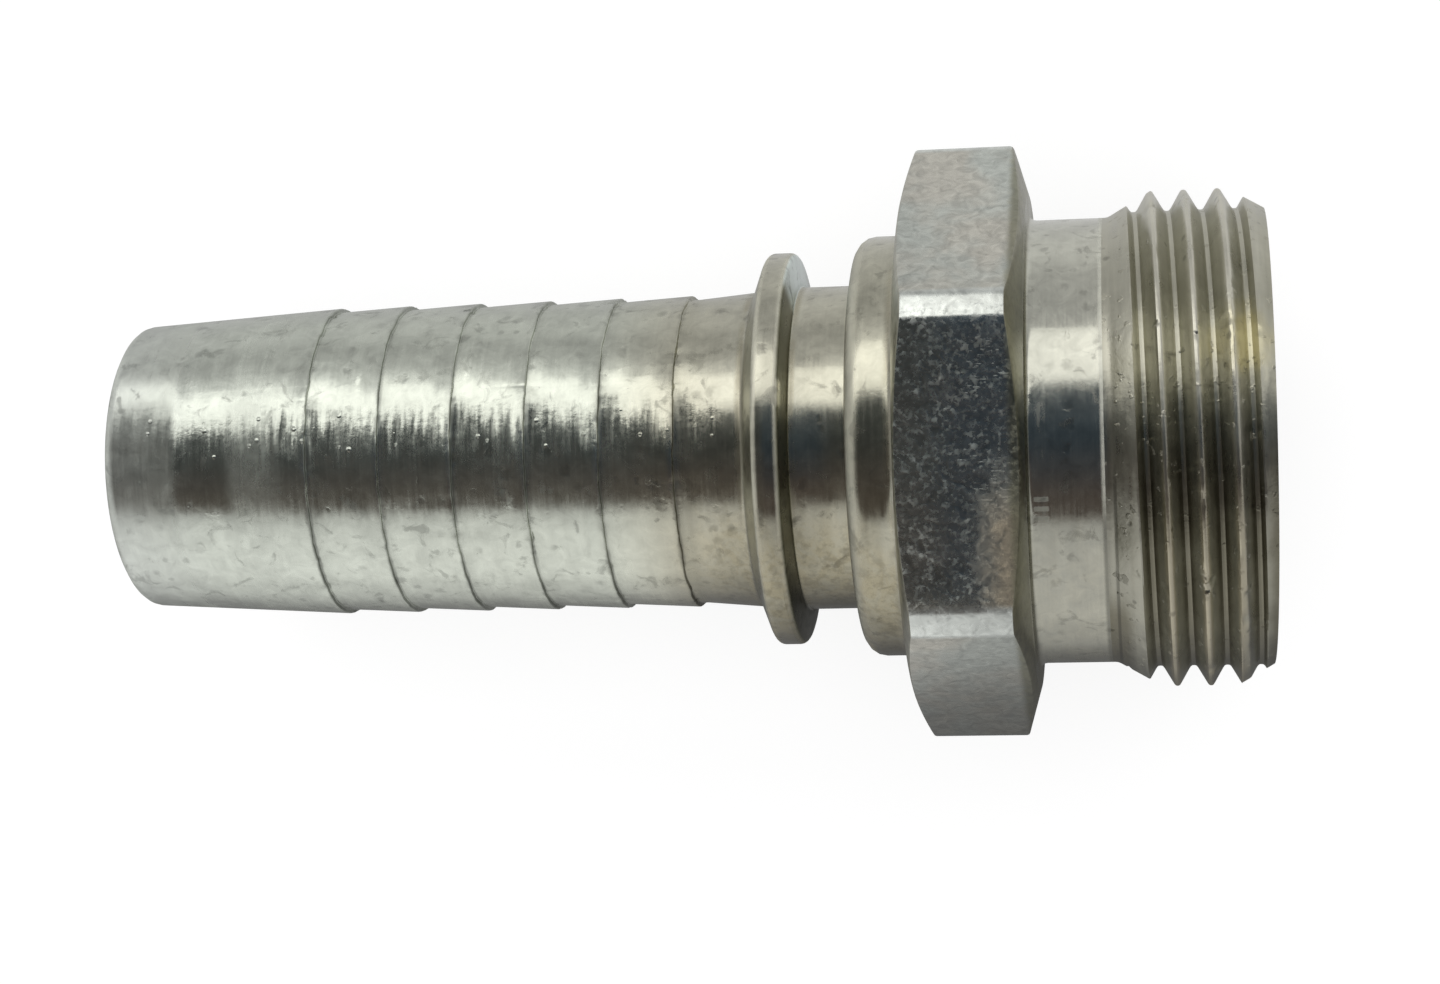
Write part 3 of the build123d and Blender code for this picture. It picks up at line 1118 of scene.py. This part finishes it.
def threadZinc():
    look = threadLook
    finish, shader = newFinish("threadZinc")
    place, x, y, z, radius = finishPlace()
    angle = turnAngle(y, z)
    rings, waves, wear, speckle, grain = patterns(place, look)
    speckle = ramp(speckle, *look["speckleFrom"])
    marks = pits(place, *look["marks"])
    below = beyond(angle, *look["below"])
    leadCone = times(ramp(x, *look["coneStations"]), ramp(angle, *look["coneAngles"]))

    # darker down in the roots except on the lead cone, painted shade on the underside, and a yellow
    # patch near the end
    reached = plus(radius, centred(wear, look["radiusWander"]))
    rootColour = mixColour(below, look["rootColour"], look["shadedRootColour"])
    rootColour = mixColour(leadCone, rootColour, look["flankColour"])
    crestColour = mixColour(below, look["crestColour"], look["shadedCrestColour"])
    colour = mixColour(ramp(reached, *look["flankRadii"]), rootColour, look["flankColour"])
    colour = mixColour(ramp(reached, *look["crestRadii"]), colour, crestColour)
    fromGilded = vectorCalc("DISTANCE", place, look["gildedPlace"])
    gilded = plus(fromGilded, centred(wear, look["gildedWander"]))
    gilded = times(ramp(gilded, *look["gildedReach"]), look["gildedShare"])
    colour = mixColour(gilded, colour, look["gildedColour"])
    grooveShadeLine = times(nearLine(x, *look["grooveShadeLine"]), ramp(angle, *look["grooveShadeAngles"]))
    tone = withSwings(1.0, (wear, rings), look["toneSwings"])
    tone = shaded(tone, (marks, below, leadCone, grooveShadeLine), look["toneShades"])
    shader.inputs["Metallic"].default_value = 1
    rough = withSwings(look["roughness"], (wear, rings), look["roughSwings"])
    rough = mulAdd(speckle, look["speckleRoughness"], rough)
    height = withMasks(0.0, (marks, wear, grain, speckle), look["heights"])
    leaning = leaningNormal(y, z, centred(waves, look["lean"]))
    normal = bumped(height, look["pitDepth"], leaning)
    paintShader(shader, colour, tone, rough, look["smoothest"], normal)
    return finish


turnedFinish = turnedZinc()
turned = revolveTree()
steps = {"Rounding steps": spigot["roundingSteps"]}
body = outlineMesh("bodyOutline", bodyOutline())
neck = outlineMesh("neckOutline", neckOutline())
surfaces = [
    runTree("spigotSurface", turned, steps, turnedFinish, body),
    runTree("hexagonSurface", hexagonTree(), hexagon, hexagonZinc()),
    runTree("neckSurface", turned, steps, turnedFinish, neck),
    runTree("threadSurface", threadTree(), thread, threadZinc()),
]
hoseTail = joinedPiece("hoseTail", surfaces)
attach(hoseTail, "root")
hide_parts("hose_tail")

view = {
    "lens": 70.143,
    "standOff": 172.7,
    "station": 7.39,
    "lean": 4.3,
    "yaw": 8.89,
    "tilt": -0.84,
    "roll": -1.58,
    "clipStart": 0.01,
}


def addCamera():
    lean = radians(view["lean"])
    right = Vector((1, 0, 0))
    up = Vector((0, cos(lean), -sin(lean)))
    back = Vector((0, sin(lean), cos(lean)))
    place = Vector((view["station"], 0, 0)) + back * view["standOff"]
    turn = Matrix.Rotation(radians(view["yaw"]), 3, up)
    right, back = turn @ right, turn @ back
    turn = Matrix.Rotation(radians(view["tilt"]), 3, right)
    up, back = turn @ up, turn @ back
    turn = Matrix.Rotation(radians(view["roll"]), 3, back)
    right, up = turn @ right, turn @ up
    lens = bpy.data.cameras.new("camera")
    lens.lens = view["lens"]
    lens.clip_start = view["clipStart"]
    camera = bpy.data.objects.new("camera", lens)
    turn = Matrix((right, up, back)).transposed()
    camera.matrix_world = Matrix.Translation(place * mm) @ turn.to_4x4()
    bpy.context.collection.objects.link(camera)
    bpy.context.scene.camera = camera


addCamera()


# Angles are in degrees from straight up, towards +Y across the room and along X at its ends. The
# room's stations are how far a direction leans along X, and the floor's are in millimetres.
studio = {
    "cardFront": (-38.5, -33.5),  # the dark ceiling card's soft edges
    "cardBack": (35.5, 30.5),
    "cardEnds": (86.0, 66.0),
    "spigotCard": [
        (-36.0, (0.115, 0.097, 0.086)), (-24.0, (0.105, 0.090, 0.080)),
        (-12.0, (0.088, 0.079, 0.075)), (4.0, (0.056, 0.058, 0.058)), (12.0, (0.056, 0.060, 0.061)),
        (20.0, (0.072, 0.079, 0.080)), (34.0, (0.105, 0.115, 0.120)),
    ],
    "threadCard": [
        (-36.0, (0.108, 0.088, 0.078)), (-24.0, (0.098, 0.080, 0.074)),
        (-12.0, (0.066, 0.065, 0.072)), (4.0, (0.042, 0.056, 0.074)), (12.0, (0.052, 0.069, 0.090)),
        (20.0, (0.076, 0.094, 0.116)), (34.0, (0.120, 0.142, 0.165)),
    ],
    "room": [  # levels of the room
        (-100.0, 1.0), (-78.0, 1.02), (-58.0, 1.0), (-38.0, 0.72), (38.0, 0.55), (84.0, 0.55),
        (100.0, 0.60),
    ],
    "nearSide": (-0.02, -0.2),
    "overSpigot": (-0.14, -0.205),
    "frontHalf": (0.0, -30.0),
    "farSide": 0.76,  # share of that level in front of the thread
    "glowFront": (84.0, 66.0),  # where the lamp's glow fades, in front of the spigot
    "glowBack": (33.0, 50.0),
    "glow": 0.92,
    "endAngles": (50.0, 84.0),
    "endLevel": 0.40,
    "floorReach": 3000.0,
    "floorPaint": 0.55,  # what the floor sends back as diffuse light
    "floorShade": 0.30,  # the camera sees this much paint, which takes the shadow,
    "floorGlow": 0.79,  # and this much plain white
    "floorRoughness": 0.9,
    "mirroredShadowFront": [  # levels of the mirrored floor by distance from the object's axis, a painted shadow
        (0.0, 0.14), (6.0, 0.14), (20.0, 0.25), (29.0, 0.42), (40.0, 0.68), (75.0, 0.80),
        (200.0, 1.02),
    ],
    "mirroredShadowBack": [
        (0.0, 0.20), (9.0, 0.50), (16.0, 0.66), (28.0, 0.72), (50.0, 0.78), (130.0, 0.60),
        (200.0, 0.60),
    ],
    "wideStations": (-26.0, -8.0),  # the object is wider past these,
    "wideBy": -8.0,  # so the floor's painted shadow reaches further out
    "farStations": (-30.0, 0.0),
    "frontToBack": (-2.0, 2.0),
    "spigotBack": 0.86,  # share of that level behind the spigot
}
lamps = {
    "keyLamp": {
        "power": 1.66,
        "size": (1900.0, 310.0),
        "tilt": 48.5,
        "distance": 600.0,
        "colour": (1.0, 0.985, 0.95),
    },
    "fillLamp": {
        "power": 4.8,
        "size": (900.0, 900.0),
        "tilt": 0.0,
        "distance": 900.0,
        "glossy": False,
    },
}


def addFloor():
    s = studio
    reach = s["floorReach"] * mm
    mesh = bpy.data.meshes.new("floor")
    corners = [(-reach, -reach), (reach, -reach), (reach, reach), (-reach, reach)]
    mesh.from_pydata([(x, y, low.z * mm) for x, y in corners], [], [(0, 1, 2, 3)])
    floor = bpy.data.objects.new("floor", mesh)
    bpy.context.collection.objects.link(floor)
    paint, shader = newFinish("floorPaint")
    shader.inputs["Roughness"].default_value = s["floorRoughness"]
    shader.inputs["Specular IOR Level"].default_value = 0
    path = addNode("ShaderNodeLightPath")
    camera = path.outputs["Is Camera Ray"]
    mirrored = most(path.outputs["Is Glossy Ray"], path.outputs["Is Transmission Ray"])
    paintLevel = mixColour(camera, s["floorPaint"], s["floorShade"])
    plug(shader.inputs["Base Color"], mixColour(mirrored, paintLevel, 0.0))
    # painted shadow: as metal mirrors it, the floor glows darker close to the object, more so beside
    # the thread
    x, y, z = separate(placeOn())
    away = calc("ABSOLUTE", y)
    wide = ramp(x, *s["wideStations"])
    front = alongLine(mulAdd(wide, s["wideBy"], away), s["mirroredShadowFront"])
    front = times(front, mixColour(ramp(x, *s["farStations"]), 1.0, s["farSide"]))
    back = alongLine(away, s["mirroredShadowBack"])
    back = times(back, mixColour(wide, s["spigotBack"], 1.0))
    level = mixColour(ramp(y, *s["frontToBack"]), front, back)
    glow = mulAdd(camera, s["floorGlow"], times(mirrored, level))
    shader.inputs["Emission Color"].default_value = (1, 1, 1, 1)
    plug(shader.inputs["Emission Strength"], glow)
    mesh.materials.append(paint)


def addRoom():
    s = studio
    world = bpy.data.worlds.new("studio")
    bpy.context.scene.world = world
    world.use_nodes = True
    building.tree = world.node_tree
    x, y, z = separate(addNode("ShaderNodeTexCoord").outputs["Generated"])
    across = turnAngle(y, z)
    along = calc("DEGREES", calc("ARCSINE", calc("ABSOLUTE", x)))
    overSpigot = ramp(x, *s["overSpigot"])
    share = mixColour(ramp(x, *s["nearSide"]), s["farSide"], 1.0)
    share = mixColour(ramp(across, *s["frontHalf"]), 1.0, share)
    room = times(alongLine(across, s["room"]), share)
    glow = times(ramp(across, *s["glowFront"]), ramp(across, *s["glowBack"]), overSpigot)
    room = mixColour(glow, room, s["glow"])
    room = mixColour(ramp(along, *s["endAngles"]), room, s["endLevel"])
    threadCard, spigotCard = (alongLine(across, s[name]) for name in ("threadCard", "spigotCard"))
    card = mixColour(overSpigot, threadCard, spigotCard)
    onCard = times(ramp(across, *s["cardFront"]), ramp(across, *s["cardBack"]),
                   ramp(along, *s["cardEnds"]))
    room = mixColour(onCard, room, card)
    toCamera = addNode("ShaderNodeLightPath").outputs["Is Camera Ray"]
    plug(world.node_tree.nodes["Background"].inputs["Color"], mixColour(toCamera, room, 1.0))


def addLamp(name, power, size, tilt, distance, colour=(1, 1, 1), glossy=True):
    light = bpy.data.lights.new(name, "AREA")
    light.shape = "RECTANGLE"
    light.size, light.size_y = (side * mm for side in size)
    light.energy = power
    light.color = colour
    lamp = bpy.data.objects.new(name, light)
    turn = Matrix.Rotation(radians(-tilt), 4, "X")
    lamp.matrix_world = turn @ Matrix.Translation((0, 0, distance * mm))
    lamp.visible_glossy = glossy
    bpy.context.collection.objects.link(lamp)


addFloor()
addRoom()
for name, lamp in lamps.items():
    addLamp(name, **lamp)
bpy.context.scene.view_settings.view_transform = "Standard"
print("lit with a floor, a room and", len(lamps), "lamps")
